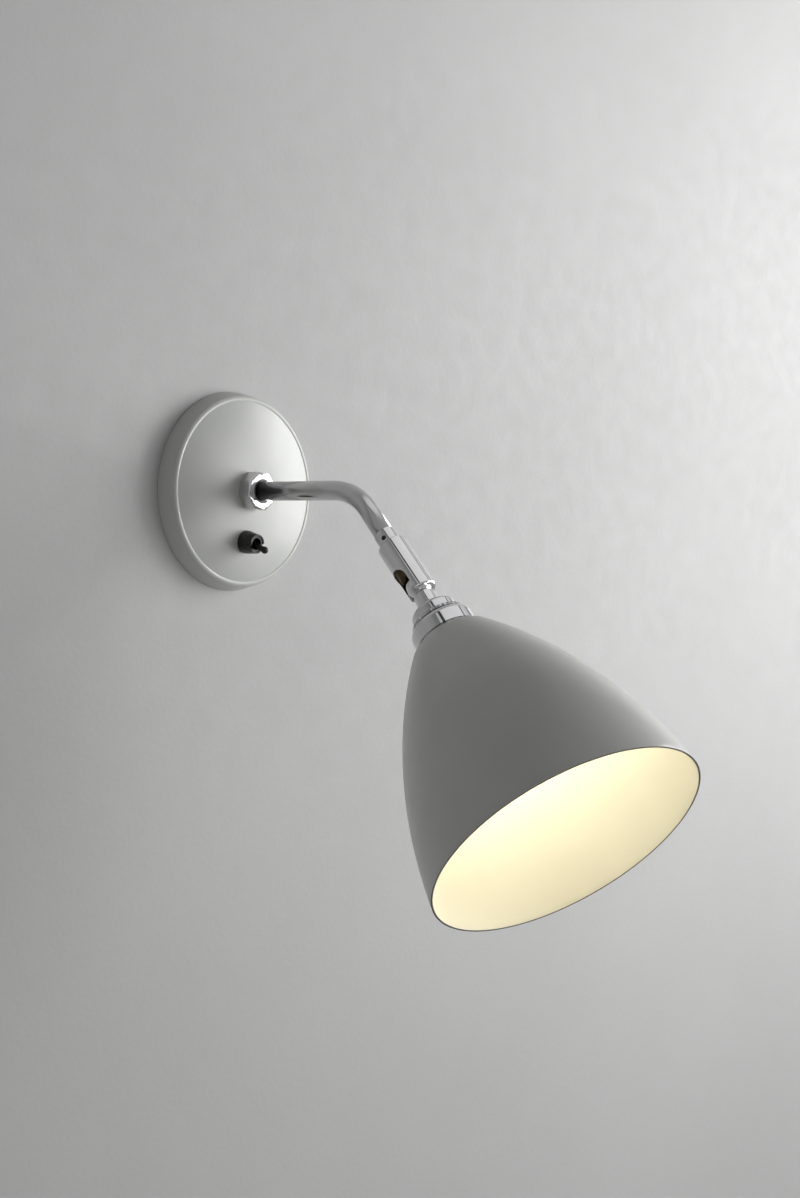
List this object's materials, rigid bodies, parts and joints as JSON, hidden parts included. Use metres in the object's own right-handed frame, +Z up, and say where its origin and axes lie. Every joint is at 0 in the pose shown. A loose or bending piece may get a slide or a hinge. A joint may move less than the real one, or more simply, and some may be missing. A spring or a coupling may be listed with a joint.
{
  "type": "wall reading lamp",
  "caption": "Bedside wall lamp: dished rose with toggle switch, bent swivelling arm, slotted ball knuckle and a wide spun bell shade on a knurled lampholder.",
  "frame": {"origin": "centre of the wall plate's back face, midway between its two wall screws", "axes": "+Z up, -Y out of the wall along the arm's first straight run, +X to the right as one faces the wall"},
  "size_m": [0.1533, 0.3316, 0.2949],
  "materials": {
    "rose_enamel": "satin warm grey-white stoved enamel",
    "shade_enamel": "satin warm grey-white stoved enamel outside, white enamel inside",
    "chrome": "polished nickel-chrome plate",
    "lever_chrome": "polished plate",
    "brass": "turned, bright",
    "holder_brass": "threaded, dull",
    "bulb_brass": "thin sheet, dull",
    "steel": "zinc plated",
    "dark_steel": "black oxide",
    "zinc_plate": "zinc plated sheet",
    "bakelite": "moulded black, semi-gloss",
    "black_nylon": "matt black",
    "porcelain": "white glaze",
    "pearl_glass": "pearl, frosted inside"
  },
  "bodies": {
    "base": {"wall_rose": "rose_enamel", "wall_plate": "zinc_plate", "rose_screws": "steel", "gland_body": "brass", "stop_peg": "steel", "wave_washer": "steel", "gland_end_ring": "steel", "gland_nut": "chrome", "friction_bush": "black_nylon", "terminal_block": "porcelain", "terminal_screws": "brass", "earth_screw": "brass", "switch_body": "bakelite", "switch_ring": "bakelite", "switch_tabs": "brass"},
    "lever": {"switch_lever": "lever_chrome"},
    "arm": {"stop_collar": "brass", "arm_tube": "chrome", "knuckle_adapter": "chrome", "adapter_screw": "dark_steel", "pivot_nut": "brass"},
    "socket": {"knuckle_sleeve": "chrome", "disc_springs": "steel", "pressure_pad": "brass"},
    "ball": {"ball_stem": "chrome", "stem_nut": "brass"},
    "head": {"holder_cap": "chrome", "cap_ring": "chrome", "holder_barrel": "holder_brass", "holder_skirt": "chrome", "shade_ring_upper": "chrome", "shade_ring_lower": "holder_brass", "holder_insert": "porcelain", "holder_contacts": "brass", "shade": "shade_enamel", "bulb_cap": "bulb_brass", "bulb_glass": "pearl_glass"}
  },
  "joints": [
    {"name": "arm_swivel", "type": "hinge", "parent": "base", "child": "arm", "pos_m": [0, 0, 0], "axis": [0, -1, 0], "range_deg": [-90, 90]},
    {"name": "knuckle_swivel", "type": "hinge", "parent": "arm", "child": "socket", "pos_m": [0, -0.101, 0], "axis": [0, -0.7071, -0.7071], "range_deg": [-150, 150]},
    {"name": "head_tilt", "type": "hinge", "parent": "socket", "child": "ball", "pos_m": [0, -0.15509, -0.05409], "axis": [0.5878, 0.5721, -0.5721], "range_deg": [-15, 87]},
    {"name": "head_spin", "type": "hinge", "parent": "ball", "child": "head", "pos_m": [0, -0.15509, -0.05409], "axis": [-0.0423, -0.6844, -0.7279], "range_deg": [-170, 170]},
    {"name": "switch_toggle", "type": "hinge", "parent": "base", "child": "lever", "pos_m": [0, -0.02072, -0.03108], "axis": [1, 0, 0], "range_deg": [-24, 0]}
  ]
}
